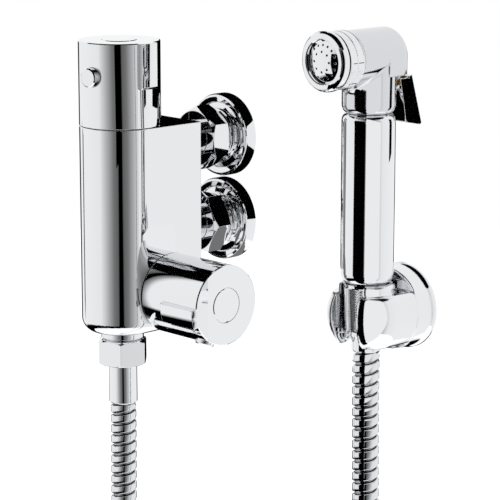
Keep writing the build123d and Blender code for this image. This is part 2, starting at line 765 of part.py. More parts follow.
def bracket_cup():
    depth = handset_from_wall
    outline = Pos(0, depth) * Ellipse(bracket_r, cup_front_depth)
    outline += Pos(0, depth / 2) * Rectangle(2 * bracket_r, depth)
    outline &= Pos(bracket_r, depth) * Rectangle(2 * bracket_r, 2 * (cup_front_depth + depth))
    solid = bracket_frame.location * revolve(Plane.XZ * outline, Axis.Z, 360)
    wide, back_len = 4 * bracket_r, depth - cup_socket_wall_r
    cup_slab = Box(wide, wide, cup_top_z - cup_bottom_z, align=upright)
    solid = solid & Pos(handset_x, -back_len - wide / 2, cup_bottom_z) * cup_slab
    cut_faces = [f for f in solid.faces() if f.geom_type == GeomType.PLANE and abs(f.normal_at().Z) > 0.9]
    cut_edges = ShapeList([e for f in cut_faces for e in f.edges() if e.geom_type != GeomType.LINE])
    solid = fillet(cut_edges, cup_edge_round)
    solid += bracket_frame.location * rod(bracket_r + bracket_step, 0, back_len)
    rim = rod(bracket_flange_r, 0, bracket_flange_len)
    solid += bracket_frame.location * fillet(rim.edges().sort_by(Axis.Z)[-1], bracket_flange_round)
    lip = rod(cup_ring_r, cup_top_z, cup_ring_top_z)
    lip = fillet(lip.edges().filter_by(GeomType.CIRCLE).sort_by(Axis.Z)[-1], cup_lip_round)
    lip = fillet(lip.edges().filter_by(GeomType.CIRCLE).sort_by(Axis.Z)[0], cup_lip_round / 2)
    solid += hand_frame.location * lip
    top, low = cup_ring_top_z + 1, cup_bottom_z - 1
    socket = spun((0, low), (cone_radius(low) + cone_gap, low), (cone_radius(top) + cone_gap, top), (0, top))
    solid -= hand_frame.location * socket
    near, far = cup_slot_width / 2, cup_slot_mouth / 2
    flare_y, front_y = -cup_ring_r, -2 * bracket_r
    slot = make_face(Polyline((-near, 0), (near, 0), (near, flare_y), (far, front_y), (-far, front_y),
                              (-near, flare_y), close=True))
    solid -= Pos(handset_x, handset_y, low) * extrude(slot, top - low)
    recess = rod(plate_r + slip_gap, -1, plate_len + slip_gap)
    recess += rod(boss_r + slip_gap, 0, boss_len + slip_gap)
    solid -= bracket_frame.location * recess
    grub_hole = rod(grub_r + slip_gap, bracket_z - 2 * bracket_r, bracket_z)
    return solid - Pos(handset_x, grub_y, 0) * grub_hole


def bracket_wall_plate():
    solid = rod(plate_r, 0, plate_len) + rod(boss_r, 0, boss_len)
    sink = plate_len - fixing_head_r + fixing_hole_r
    hole = spun((0, -1), (fixing_hole_r, -1), (fixing_hole_r, sink), (fixing_head_r, plate_len + 0.05),
                (fixing_head_r, plate_len + 1), (0, plate_len + 1))
    for side in (-1, 1):
        solid -= Pos(side * fixing_pitch / 2, 0, 0) * hole
    return solid


def grub_screw():
    top = bracket_z - boss_r
    solid = rod(grub_r, top - grub_len, top)
    return solid - hexagon_bar(2.0, top - grub_len - 1, top - grub_len + 2.5)


grub_y = -(plate_len + boss_len) / 2
keep("bracket_cup", bracket_cup())
keep("bracket_wall_plate", bracket_wall_plate(), bracket_frame)
parts["bracket_grub_screw"] = Pos(handset_x, grub_y, 0) * grub_screw()


# Handset end of the hose: knurled cone nut, ferrule and washer.
def cone_nut():
    """Cone with a smooth foot, crossed knurling being left to the surface finish."""
    foot_r = cone_bottom_r - 1.0
    start = cone_bottom_z + 2.6
    solid = spun((0, cone_bottom_z), (foot_r - 0.4, cone_bottom_z), (foot_r, cone_bottom_z + 1.8),
                 (foot_r, start - 0.2), (cone_radius(start), start), (cone_top_r, cone_top_z),
                 (0, cone_top_z))
    solid -= rod(grip_thread_r + slip_gap, nut_floor_z, cone_top_z + 1)
    return solid - rod(ferrule_r + shaft_gap, cone_bottom_z - 1, nut_floor_z + 1)


thread_end_z = grip_bottom_z - grip_thread_len
nut_floor_z = thread_end_z - washer_thickness - tail_flange_len - 0.3
hand_ferrule_bottom_z = cone_bottom_z - 8.4
keep("hose_cone_nut", cone_nut(), hand_frame)
hand_tail_z = nut_floor_z + 0.1
hand_ferrule = ferrule(hand_ferrule_bottom_z, nut_floor_z + tail_flange_len, hand_tail_z)
keep("hose_handset_ferrule", hand_ferrule, hand_frame)
washer_low = thread_end_z - washer_thickness
keep("hose_handset_washer", hose_washer(grip_thread_r, washer_low, thread_end_z), hand_frame)

# Hose route: out of the valve ferrule, one hanging loop, up into the handset ferrule.
route = [
    (0, valve_y, hose_start_z),
    (0, valve_y, -215),
    (-4.7, -77.7, -312),
    (-11.0, -80.0, -402),
    (-12.2, -80.5, -486),
    (33.2, -63.8, -535),
    (97.7, -40.2, -535),
    (143.1, -23.6, -486),
    (141.0, -24.3, -388),
    (135.5, -26.3, -290),
    (handset_x, handset_y, -190),
    (handset_x, handset_y, hand_ferrule_bottom_z),
]


def corner_radii(points):
    """Each arc's radius: 0.45 of the shorter run over the tangent of half the turn."""
    radii = []
    for before, here, after in zip(points, points[1:], points[2:]):
        into, out = Vector(*here) - Vector(*before), Vector(*after) - Vector(*here)
        half_turn = math.radians(into.get_angle(out)) / 2
        radii.append(0.45 * min(into.length, out.length) / math.tan(half_turn))
    return radii


def ribbed_hose():
    """Ribbed metal hose: a ruled loft through four circles a rib, bored through."""
    path = FilletPolyline(*route, radius=corner_radii(route))
    length = path.length
    side = (Vector(*route[-1]) - Vector(*route[0])).cross(Vector(0, 0, 1)).normalized()

    def circle_at(distance, radius):
        share = distance / length
        return Plane(path @ share, x_dir=side, z_dir=path % share) * Circle(radius)

    pitch = (length - 2 * hose_end_straight) / hose_rib_count
    sections = [circle_at(0, hose_root_r)]
    for index in range(hose_rib_count):
        start = hose_end_straight + index * pitch
        for share, radius in rib_profile:
            sections.append(circle_at(start + share * pitch, radius))
    sections.append(circle_at(length, hose_root_r))
    skin = loft(sections, ruled=True)
    bore = sweep(circle_at(0, hose_bore_r), path)
    return skin - bore, path


def mean_section():
    """Mean metal section of the hose over one rib."""
    stations = list(rib_profile) + [(1 + rib_profile[0][0], rib_profile[0][1])]
    swept = 0
    for (near, r1), (far, r2) in zip(stations, stations[1:]):
        swept += (far - near) * (r1 * r1 + r1 * r2 + r2 * r2) / 3
    return math.pi * (swept - hose_bore_r ** 2)


hose, hose_path = ribbed_hose()
keep("hose", hose)
hose_section = mean_section()
print("hose radii mm", [round(r, 1) for r in corner_radii(route)])
print("hose centreline mm", round(hose_path.length, 1), "of nominal", hose_nominal)
print("hose volume over section times length", round(hose.volume / (hose_section * hose_path.length), 3))
hose_points = [hose_path @ (i / 400) for i in range(401)]
clear_steps = 60
spans = [(a - b).length for i, a in enumerate(hose_points) for b in hose_points[i + clear_steps:]]
print("hose least gap to itself mm", round(min(spans) - 2 * hose_crest_r, 1))


# Handset: grip, head, spray end, plunger valve and trigger.
def handset_grip():
    tube = soft_bar(grip_r, grip_bottom_z, grip_top_z, grip_foot_len)
    tube -= rod(grip_bore_r, grip_bottom_z + grip_floor, grip_top_z + 1)
    tube += rod(grip_thread_r, thread_end_z, grip_bottom_z + 1)
    return tube - rod(grip_waterway_r, thread_end_z - 1, grip_bottom_z + grip_floor + 1)


def head_shell():
    """Upright neck and level barrel, blended where they meet, with a hood down over the hinge."""
    neck = soft_bar(grip_r, grip_top_z, head_axis_z, end_round_len)
    barrel = rod(head_r, -head_back, head_front)
    barrel = fillet(barrel.edges().filter_by(GeomType.CIRCLE).sort_by(Axis.Z)[0], head_back_fillet)
    barrel = Pos(0, 0, head_axis_z) * Rot(90, 0, 0) * barrel
    solid = neck + barrel
    solid = fillet(solid.edges().filter_by(GeomType.BSPLINE), head_blend)
    hood_low = trigger_top_z + moving_gap
    hood = Box(2 * head_r, head_back, head_axis_z - hood_low, align=(Align.CENTER, Align.MIN, Align.MIN))
    hood = Pos(0, 0, hood_low) * hood
    hood = fillet(hood.edges().filter_by(Axis.Z).sort_by(Axis.Y)[-2:], head_back_fillet)
    ahead = Pos(0, 0, head_axis_z) * Rot(-hood_lean, 0, 0) * Pos(0, -2 * head_r, 0) * Box(
        4 * head_r, 4 * head_r, 8 * head_r)
    return solid + (hood - ahead)


def handset_head():
    solid = hand_frame.location * head_shell()
    spigot = rod(grip_bore_r - slip_gap, grip_top_z - spigot_len, grip_top_z + 1)
    groove_low = grip_top_z - spigot_len + 2.5
    groove_r = grip_bore_r - o_ring_depth - slip_gap
    spigot -= ring(grip_bore_r + 1, groove_r, groove_low, groove_low + o_ring_len)
    solid += hand_frame.location * spigot
    thread = rod(head_thread_r, head_front - 1, head_front + head_thread_len)
    solid += spray_frame.location * thread
    solid -= spray_frame.location * rod(head_bore_r, -4.0, head_front + head_thread_len + 1)
    inlet_drill = Pos(0, -4.0, 0) * rod(inlet_drill_r, grip_top_z - spigot_len - 1, plunger_axis_z)
    outlet_drill = Pos(0, 3.0, 0) * rod(outlet_drill_r, plunger_axis_z, head_axis_z)
    solid -= hand_frame.location * (inlet_drill + outlet_drill)
    solid -= plunger_frame.location * rod(plunger_bore_r, -plunger_chamber_len, grip_r + 1)
    slot_half = tongue_half_width + slot_gap
    slot_front = hinge_back - hinge_eye_r - slot_gap
    slot_low = hinge_z - hinge_eye_r - slot_gap
    slot_top = hinge_z + hinge_eye_r + slot_gap + 1
    deep = Pos(0, slot_front, slot_low) * Box(2 * slot_half, head_back, slot_top - slot_low,
                                              align=(Align.CENTER, Align.MIN, Align.MIN))
    relief = Pos(0, grip_r - sleeve_sink, slot_low - 5) * Box(2 * slot_half, head_back, 6,
                                                              align=(Align.CENTER, Align.MIN, Align.MIN))
    solid -= hand_frame.location * (deep + relief)
    return solid - hinge_frame.location * rod(hinge_pin_r + shaft_gap / 2, -head_r, head_r)


def o_ring():
    low = grip_top_z - spigot_len + 2.5
    return ring(grip_bore_r - 0.02, grip_bore_r - o_ring_depth, low + 0.1, low + o_ring_len - 0.1)


keep("handset_grip", handset_grip(), hand_frame)
parts["handset_head"] = handset_head()
keep("grip_o_ring", o_ring(), hand_frame)

ring_start = head_front + 0.2
ring_end = ring_start + nozzle_ring_len
bezel_start = ring_end + bezel_gap
bezel_end = bezel_start + bezel_len
step_face = ring_start + nozzle_step
bezel_seat = bezel_start + 0.8


def nozzle_ring():
    """Straight-fluted ring that screws on the head's thread and holds the strainer."""
    solid = rod(nozzle_ring_r, ring_start, ring_end)
    solid = chamfer(solid.edges().filter_by(GeomType.CIRCLE), 0.4)
    flute = Pos(nozzle_ring_r, 0, ring_start + 1.2) * Rot(0, 0, 45) * Box(
        flute_depth * 1.4, flute_depth * 1.4, nozzle_ring_len - 2.4, align=upright)
    for cut in polar(flute, flute_count):
        solid -= cut
    solid -= rod(head_thread_r + slip_gap, ring_start - 1, step_face)
    return solid - rod(head_thread_r - 0.5, step_face - 1, ring_end + 1)


def spray_bezel():
    """Rounded ring with a tail that goes into the fluted ring."""
    back_r = bezel_r - 0.6
    shoulder = bezel_end - bezel_fillet
    tail = bezel_start - 3.0
    tail_r = head_thread_r - 0.6
    turn = math.radians(30)
    mid_r = bezel_r - bezel_fillet * (1 - math.cos(turn))
    mid_z = shoulder + bezel_fillet * math.sin(turn)
    high_r = bezel_r - bezel_fillet * (1 - math.sin(turn))
    high_z = shoulder + bezel_fillet * math.cos(turn)
    face_r = bezel_r - bezel_fillet
    outer = [(head_bore_r + 0.3, tail), (tail_r, tail), (tail_r, bezel_start), (back_r, bezel_start)]
    outer += [(bezel_r, bezel_start + 0.6), (bezel_r, shoulder), (mid_r, mid_z), (high_r, high_z)]
    outer += [(face_r, bezel_end)]
    inner = [(bezel_opening_r + 0.4, bezel_end), (bezel_opening_r, bezel_end - 0.4)]
    inner += [(bezel_opening_r, bezel_seat), (head_bore_r + 0.3, bezel_seat)]
    return spun(*outer, *inner)


def spray_plate():
    """Domed plate drilled on two rings."""
    low = bezel_seat + gasket_len
    edge_r = bezel_opening_r - slip_gap
    high = low + spray_plate_len + spray_dome
    bulge_r = (edge_r ** 2 + spray_dome ** 2) / (2 * spray_dome)
    shell = Sphere(bulge_r) - Sphere(bulge_r - spray_plate_len)
    solid = Pos(0, 0, high - bulge_r) * shell & rod(edge_r, low, high)
    for reach, count in ((spray_inner_ring_r, spray_inner_count), (spray_outer_ring_r, spray_outer_count)):
        for cut in polar(Pos(reach, 0, 0) * rod(spray_hole_r, low - 1, high + 1), count):
            solid -= cut
    return solid


def spray_strainer():
    high = step_face
    solid = rod(head_thread_r - 0.3, high - strainer_len, high)
    for reach, count in ((0.01, 1), (3.2, 6), (6.2, 12)):
        for cut in polar(Pos(reach, 0, 0) * rod(0.9, high - 3, high + 1), count):
            solid -= cut
    return solid


def plunger_sleeve():
    """Brass sleeve screwed in from the back: a seat at its inner end and a guide for the stem."""
    seat = 0.0
    back = grip_r - sleeve_sink
    solid = ring(plunger_bore_r - slip_gap, sleeve_inner_r, seat, back)
    guide = ring(plunger_bore_r - slip_gap, plunger_stem_r + shaft_gap, back - 4, back)
    port = Pos(0, 0, 3.0) * Rot(90, 0, 0) * rod(2.0, 0, plunger_bore_r + 1)
    solid += guide
    return solid - port - Rot(0, 0, 180) * port


def plunger():
    """Stem with the button end that the lever presses and the head that shuts the seat."""
    head_top = -plunger_seal_len
    solid = rod(plunger_stem_r, head_top, plunger_end)
    solid = fillet(solid.edges().sort_by(Axis.Z)[-1], 0.8)
    solid += rod(plunger_head_r, head_top - plunger_head_len, head_top)
    return solid + rod(1.6, head_top - plunger_head_len - 1.0, head_top - plunger_head_len)


plunger_end = grip_r + 1.7
keep("nozzle_ring", nozzle_ring(), spray_frame)
keep("spray_bezel", spray_bezel(), spray_frame)
keep("spray_plate", spray_plate(), spray_frame)
gasket_top = bezel_seat + gasket_len
keep("spray_gasket", ring(bezel_opening_r - 0.3, head_bore_r + 0.6, bezel_seat, gasket_top), spray_frame)
keep("spray_strainer", spray_strainer(), spray_frame)
keep("plunger_sleeve", plunger_sleeve(), plunger_frame)
keep("plunger", plunger(), plunger_frame)
keep("plunger_seal", ring(plunger_head_r, plunger_stem_r + 0.05, -plunger_seal_len, 0), plunger_frame)
plunger_back = -plunger_seal_len - plunger_head_len
plunger_spring = coil_spring(2.4, spring_wire_r, -plunger_chamber_len, plunger_back, 4)
keep("plunger_spring", plunger_spring, plunger_frame)


# Trigger: a sloping plate with cheeks at its sides and a tongue that the pin carries.
def trigger_lever():
    """Drawn as outlines in the side view, where x runs back and y runs up."""
    slope = Vector(trigger_tip_back - trigger_top_back, trigger_tip_z - trigger_top_z).normalized()
    inward = Vector(slope.Y, -slope.X) * trigger_plate
    top, tip = Vector(trigger_top_back, trigger_top_z), Vector(trigger_tip_back, trigger_tip_z)
    if inward.X > 0:
        inward = inward * -1
    inner_top, inner_tip = top + inward, tip + inward
    side_plane = Plane(origin=(handset_x, handset_y, 0), x_dir=(0, 1, 0), z_dir=(1, 0, 0))

    def slab(points, half_from, half_to):
        outline = make_face(Polyline(*[(p.X, p.Y) for p in points], close=True))
        return extrude(Pos(0, 0, half_from) * outline, half_to - half_from)

    plate = slab([top, tip, inner_tip, inner_top], -trigger_half_width, trigger_half_width)
    plate = fillet(plate.edges().filter_by(Axis.Z).sort_by(Axis.Y)[0:2], 0.7)
    cheek_line = [Vector(cheek_front, trigger_top_z - 1.2), inner_top + Vector(0.8, -1.2)]
    cheek_line += [inner_tip + Vector(0.5, 0.3), Vector(cheek_front + 0.6, trigger_tip_z + 1.4)]
    solid = plate
    for side in (-1, 1):
        low, high = sorted((side * trigger_half_width, side * (trigger_half_width - trigger_wall)))
        solid += slab(cheek_line, low, high)
    eye = Pos(hinge_back, hinge_z, 0) * rod(hinge_eye_r, -tongue_half_width, tongue_half_width)
    tongue_line = [Vector(hinge_back, hinge_z + 0.4), inner_top + Vector(0.6, -0.3)]
    tongue_line += [inner_top + Vector(0.9, -2.6), Vector(hinge_back, hinge_z - hinge_eye_r)]
    tongue = slab(tongue_line, -tongue_half_width, tongue_half_width)
    plate_lean = (trigger_tip_back - trigger_top_back) / (trigger_top_z - trigger_tip_z)
    pad_back = inner_top.X + (trigger_top_z - plunger_axis_z) * plate_lean
    pad = rod(trigger_pad_r, plunger_end + moving_gap, pad_back + 0.8)
    pad = Pos(0, plunger_axis_z, 0) * Rot(0, 90, 0) * pad
    solid = solid + eye + tongue + pad
    solid -= Pos(hinge_back, hinge_z, 0) * rod(hinge_pin_r + shaft_gap, -head_r, head_r)
    return side_plane.location * solid


parts["trigger_lever"] = trigger_lever()
pin_half = tongue_half_width + hinge_pin_grip
keep("trigger_pin", rod(hinge_pin_r, -pin_half, pin_half), hinge_frame)

os.makedirs("parts", exist_ok=True)
for name, shape in parts.items():
    export_step(shape, os.path.join("parts", name + ".step"))
print(len(parts), "nodes written")
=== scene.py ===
import bmesh
import bpy
import json
import math
from mathutils import Matrix, Vector


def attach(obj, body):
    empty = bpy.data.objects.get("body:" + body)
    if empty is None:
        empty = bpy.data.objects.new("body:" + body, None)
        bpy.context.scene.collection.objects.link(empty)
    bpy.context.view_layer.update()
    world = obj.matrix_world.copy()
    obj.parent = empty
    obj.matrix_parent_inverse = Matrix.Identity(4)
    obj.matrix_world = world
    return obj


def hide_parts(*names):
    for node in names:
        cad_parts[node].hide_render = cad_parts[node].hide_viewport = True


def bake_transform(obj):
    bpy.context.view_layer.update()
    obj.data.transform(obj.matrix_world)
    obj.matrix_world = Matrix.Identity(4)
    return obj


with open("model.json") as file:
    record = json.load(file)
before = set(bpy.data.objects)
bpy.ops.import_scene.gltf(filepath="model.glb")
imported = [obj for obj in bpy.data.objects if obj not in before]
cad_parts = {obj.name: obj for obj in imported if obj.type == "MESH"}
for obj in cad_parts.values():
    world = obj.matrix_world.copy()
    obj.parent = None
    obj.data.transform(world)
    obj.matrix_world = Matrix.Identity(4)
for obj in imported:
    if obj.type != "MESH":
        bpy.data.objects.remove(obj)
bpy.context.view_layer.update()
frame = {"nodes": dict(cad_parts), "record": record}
print("frame loaded with", len(frame["nodes"]), "solids")
scene = bpy.context.scene


# Small helpers for colours, node trees and meshes.
def linear(hexText):
    values = [int(hexText[i:i + 2], 16) / 255 for i in (1, 3, 5)]
    return tuple(v / 12.92 if v <= 0.04045 else ((v + 0.055) / 1.055) ** 2.4 for v in values) + (1.0,)


def addNode(tree, kind, settings=None, links=None):
    node = tree.nodes.new(kind)
    for key, value in (settings or {}).items():
        if isinstance(key, int) or key in node.inputs:
            node.inputs[key].default_value = value
        else:
            setattr(node, key, value)
    for key, source in (links or {}).items():
        socket = source.outputs[0] if isinstance(source, bpy.types.Node) else source
        tree.links.new(socket, node.inputs[key])
    return node


def newMaterial(name):
    material = bpy.data.materials.new(name)
    material.use_nodes = True
    tree = material.node_tree
    tree.nodes.clear()
    output = addNode(tree, "ShaderNodeOutputMaterial")
    return material, tree, output


# Smooth faces, with edges kept sharp where the surface turns by more than the given angle.
def meshFrom(bm, name, angle):
    limit = math.radians(angle)
    for face in bm.faces:
        face.smooth = True
    for edge in bm.edges:
        edge.smooth = len(edge.link_faces) == 2 and edge.calc_face_angle(0) < limit
    mesh = bpy.data.meshes.new(name)
    bm.to_mesh(mesh)
    bm.free()
    return mesh


def addPiece(name, mesh, material, body, stands=()):
    piece = bpy.data.objects.new(name, mesh)
    scene.collection.objects.link(piece)
    mesh.materials.clear()
    mesh.materials.append(material)
    if body:
        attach(piece, body)
    if stands:
        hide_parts(*stands)
    return piece


# Polished metals: faint polishing waves, softened edges, and, where a look asks for it, painted shade that
# darkens the colour in crevices.
metalRecipe = {"detail": 3.0, "grit": 0.55, "hazeLow": 0.75, "hazeHigh": 1.25, "edgeSamples": 6,
               "creviceSamples": 8, "creviceShut": 0.45, "creviceOpen": 0.8}


def polishedMetal(name, look):
    material, tree, output = newMaterial(name)
    recipe = dict(metalRecipe, **look)
    place = addNode(tree, "ShaderNodeTexCoord")
    waviness = {"Scale": recipe["wavesPerMetre"], "Detail": recipe["detail"], "Roughness": recipe["grit"]}
    swirl = addNode(tree, "ShaderNodeTexNoise", waviness, {"Vector": place.outputs["Object"]})
    low, high = recipe["roughness"] * recipe["hazeLow"], recipe["roughness"] * recipe["hazeHigh"]
    haze = addNode(tree, "ShaderNodeMapRange", {"To Min": low, "To Max": high},
                   {"Value": swirl.outputs["Fac"]})
    edge = addNode(tree, "ShaderNodeBevel",
                   {"samples": recipe["edgeSamples"], "Radius": recipe["edgeRadius"]})
    waves = addNode(tree, "ShaderNodeBump", {"Strength": 1.0, "Distance": recipe["waveHeight"]},
                    {"Height": swirl.outputs["Fac"], "Normal": edge.outputs["Normal"]})
    surface = addNode(tree, "ShaderNodeBsdfPrincipled",
                      {"Base Color": linear(recipe["colour"]), "Metallic": 1.0},
                      {"Roughness": haze.outputs["Result"], "Normal": waves.outputs["Normal"]})
    # Painted shade: the base colour turns towards the shade colour where ambient occlusion finds nearby
    # surfaces, in pits and grooves.
    if "creviceReach" in recipe:
        clear = addNode(tree, "ShaderNodeAmbientOcclusion",
                        {"samples": recipe["creviceSamples"], "Distance": recipe["creviceReach"]})
        paintedShadeAmount = addNode(tree, "ShaderNodeMapRange",
                        {"From Min": recipe["creviceShut"], "From Max": recipe["creviceOpen"]},
                        {"Value": clear.outputs["AO"]})
        paintedShadeRamp = addNode(tree, "ShaderNodeValToRGB", None, {"Fac": paintedShadeAmount})
        paintedShadeRamp.color_ramp.elements[0].color = linear(recipe["creviceColour"])
        paintedShadeRamp.color_ramp.elements[1].color = linear(recipe["colour"])
        tree.links.new(paintedShadeRamp.outputs["Color"], surface.inputs["Base Color"])
    tree.links.new(surface.outputs["BSDF"], output.inputs["Surface"])
    return material


# Moulded and lapped pieces: plastic, rubber and ceramic.
def mouldedPiece(name, look):
    material, tree, output = newMaterial(name)
    place = addNode(tree, "ShaderNodeTexCoord")
    grain = addNode(tree, "ShaderNodeTexNoise", {"Scale": look["grainPerMetre"], "Detail": 2.0},
                    {"Vector": place.outputs["Object"]})
    relief = addNode(tree, "ShaderNodeBump", {"Strength": 0.6, "Distance": look["grainHeight"]},
                     {"Height": grain.outputs["Fac"]})
    body = {"Base Color": linear(look["colour"]), "Roughness": look["roughness"], "IOR": look["ior"]}
    surface = addNode(tree, "ShaderNodeBsdfPrincipled", body, {"Normal": relief.outputs["Normal"]})
    tree.links.new(surface.outputs["BSDF"], output.inputs["Surface"])
    return material


# Chrome plate over polished castings gives mirror-sharp, slightly cool reflections.
chromeLook = {"colour": "#E9EAEC", "roughness": 0.035, "wavesPerMetre": 60, "waveHeight": 0.00001,
              "edgeRadius": 0.00025}
# Buffed casting: the cup's edges are shaded round, because the photograph shows them soft.
castLook = dict(chromeLook, edgeRadius=0.0022, edgeSamples=16)
# Rolled knurling keeps its points crisp under the plate, with near-black painted shade in the pits between
# them.
knurlLook = dict(chromeLook, edgeRadius=0.00003, creviceReach=0.0009, creviceColour="#0E0F10")
# Fine straight flutes have crisp ridges too, with grey painted shade between them.
fluteLook = dict(knurlLook, creviceReach=0.0006, creviceColour="#66686C")
# The buffed head is a little softer than the turned pieces, and its chrome is painted a little greyer:
# painted shade on the same plate.
headSoftShadedLook = dict(chromeLook, colour="#D8D9DC", roughness=0.075)
# Turned brass keeps a warm colour and the soft haze of the lathe tool.
brassLook = {"colour": "#D8B56B", "roughness": 0.28, "wavesPerMetre": 900, "waveHeight": 0.00001,
             "edgeRadius": 0.0002}
# Zinc plate on screws and pressed steel looks greyer and more hazy than chrome.
steelLook = {"colour": "#B9BCC0", "roughness": 0.3, "wavesPerMetre": 700, "waveHeight": 0.00001,
             "edgeRadius": 0.0001}
# Drawn wire has a dull, dark metal shine.
wireLook = {"colour": "#9EA0A4", "roughness": 0.25, "wavesPerMetre": 1500, "waveHeight": 0.000005,
            "edgeRadius": 0.0001}
# Drawn copper of the wax capsule, slightly dulled.
copperLook = {"colour": "#C4794F", "roughness": 0.3, "wavesPerMetre": 500, "waveHeight": 0.00001,
              "edgeRadius": 0.0001}
# Polished stainless strip of the hose: close to chrome, a little softer, and with painted shade in its
# grooves.
hoseLook = {"colour": "#E2E3E5", "roughness": 0.06, "wavesPerMetre": 150, "waveHeight": 0.00001,
            "edgeRadius": 0.0001, "creviceReach": 0.0016, "creviceColour": "#1A1B1D"}
# Moulded acetal, pale and matt.
plasticLook = {"colour": "#DCDCD6", "roughness": 0.45, "ior": 1.48, "grainPerMetre": 1200,
               "grainHeight": 0.00002}
# Lapped alumina ceramic, ivory white and glossy.
ceramicLook = {"colour": "#EFEBE0", "roughness": 0.12, "ior": 1.76, "grainPerMetre": 400,
               "grainHeight": 0.000002}
# Moulded rubber, near black with a soft sheen.
rubberLook = {"colour": "#1B1B1C", "roughness": 0.6, "ior": 1.52, "grainPerMetre": 1500,
              "grainHeight": 0.00003}

finishes = {
    "chrome_on_brass": polishedMetal("polished chrome plate on brass", chromeLook),
    "chrome_on_steel": polishedMetal("polished chrome plate on pressed steel", chromeLook),
    "chrome_on_zinc": polishedMetal("polished chrome plate on cast zinc", chromeLook),
    "plain_brass": polishedMetal("turned brass", brassLook),
    "steel": polishedMetal("zinc plated steel", steelLook),
    "spring_steel": polishedMetal("drawn spring wire", wireLook),
    "copper": polishedMetal("drawn copper", copperLook),
    "hose_steel": polishedMetal("polished stainless strip", hoseLook),
    "engineering_plastic": mouldedPiece("moulded acetal", plasticLook),
    "ceramic": mouldedPiece("lapped ceramic", ceramicLook),
    "rubber": mouldedPiece("moulded rubber", rubberLook),
}
special = {"bracket_cup": polishedMetal("polished chrome plate on buffed zinc casting", castLook),
           "hose_cone_nut": polishedMetal("polished chrome plate on rolled knurl", knurlLook),
           "nozzle_ring": polishedMetal("polished chrome plate on fine flutes", fluteLook),
           "handset_head": polishedMetal("buffed chrome plate on cast brass", headSoftShadedLook)}
slotOf = {part["node"]: part["material_slot"] for part in frame["record"]["subparts"]}
bodyOf = {node: body for body, nodes in frame["record"]["behaviour"]["bodies"].items() for node in nodes}
print("materials made:", len(finishes) + len(special))


def pieceName(node):
    words = node.split("_")
    return words[0] + ("".join(word.capitalize() for word in words[1:]) or "Piece")


# Every plain solid gets a smooth-shaded visual piece: its own surface with the facets joined.
remade = ("hose", "hose_cone_nut", "nozzle_ring", "upper_wall_connector", "lower_wall_connector")
joined = {"sharpAngle": 24.0, "bracket_cup": 42.0, "mergeWithin": 2e-6}
# Each spring: the body that holds it, the body that presses it, and the way it is pressed.
springs = {
    "stop_button_spring": ("temperature_handle", "stop_button", (-0.156434, 0.987688, 0)),
    "flow_button_spring": ("flow_knob", "flow_button", (0, 0.34202, 0.939693)),
    "plunger_spring": ("handset", "plunger", (0, -1, 0)),
    "return_spring": ("root", "shuttle", (0, 0, -1)),
    "overload_spring": ("root", "shuttle", (0, 0, 1)),
}


def foldSpring(node, piece):
    held, pressing, way = springs[node]
    way = Vector(way)
    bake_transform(piece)


def joinedCopy(node):
    bm = bmesh.new()
    bm.from_mesh(frame["nodes"][node].data)
    bmesh.ops.remove_doubles(bm, verts=bm.verts, dist=joined["mergeWithin"])
    mesh = meshFrom(bm, pieceName(node), joined.get(node, joined["sharpAngle"]))
    finish = special.get(node, finishes[slotOf[node]])
    body = None if node in springs else bodyOf[node]
    piece = addPiece(pieceName(node), mesh, finish, body, [node])
    if node in springs:
        foldSpring(node, piece)
        return piece
    shading = piece.modifiers.new("evenShading", "WEIGHTED_NORMAL")
    shading.keep_sharp = True
    shading.weight = 100
    return piece


pieces = {node: joinedCopy(node) for node in frame["nodes"] if node not in remade}
print("plain pieces joined:", len(pieces))


# The handset's upright axis, and the turn that points an upright piece out from the wall.
handsetAxis = (0.131, -0.028)
facing = Matrix.Rotation(math.pi / 2, 4, "X")


# Turned pieces: an outline of radius and height in mm, spun about its axis and then put in place.
def turned(outline, steps):
    bm = bmesh.new()
    corners = [bm.verts.new((radius / 1000, 0, height / 1000)) for radius, height in outline]
    edges = [bm.edges.new((a, b)) for a, b in zip(corners, corners[1:] + corners[:1])]
    bmesh.ops.spin(bm, geom=corners + edges, cent=(0, 0, 0), axis=(0, 0, 1), dvec=(0, 0, 0),
                   angle=2 * math.pi, steps=steps, use_merge=True, use_duplicate=False)
    bmesh.ops.remove_doubles(bm, verts=bm.verts, dist=1e-6)
    return bm


# Knurling presses every second point of a band inwards: crossed for diamonds, straight for flutes.
def pressKnurl(bm, band, steps, outside):
    pressed, slack = [], 0.01
    for vert in bm.verts:
        radius, height = math.hypot(vert.co.x, vert.co.y) * 1000, vert.co.z * 1000
        if radius < outside or not band["low"] - slack < height < band["high"] + slack:
            continue
        column = round(math.atan2(vert.co.y, vert.co.x) / (2 * math.pi) * steps)
        row = round((height - band["low"]) / band["rise"]) if band["crossed"] else 0
        if (column + row) % 2:
            vert.co.xy *= (radius - band["depth"]) / radius
            pressed.append(vert)
    if band["crossed"]:
        bmesh.ops.connect_verts(bm, verts=pressed)


def addTurned(node, bm, place, angle):
    bmesh.ops.transform(bm, matrix=place, verts=bm.verts)
    bmesh.ops.recalc_face_normals(bm, faces=bm.faces)
    mesh = meshFrom(bm, pieceName(node), angle)
    finish = special.get(node, finishes[slotOf[node]])
    pieces[node] = addPiece(pieceName(node), mesh, finish, bodyOf[node], [node])


# Cone nut on the handset's hose end: diamond knurl between a smooth foot and a smooth top band.
coneNut = {"place": (*handsetAxis, 0), "steps": 108, "low": -80.2, "high": -58.42, "rise": 0.66,
           "depth": 0.36, "crossed": True, "slope": 1.3 / 26.5, "topRadius": 11.9, "topHeight": -56.6,
           "pressOutside": 10.3, "sharpAngle": 12}


def coneRadius(height):
    return coneNut["topRadius"] - coneNut["slope"] * (coneNut["topHeight"] - height)


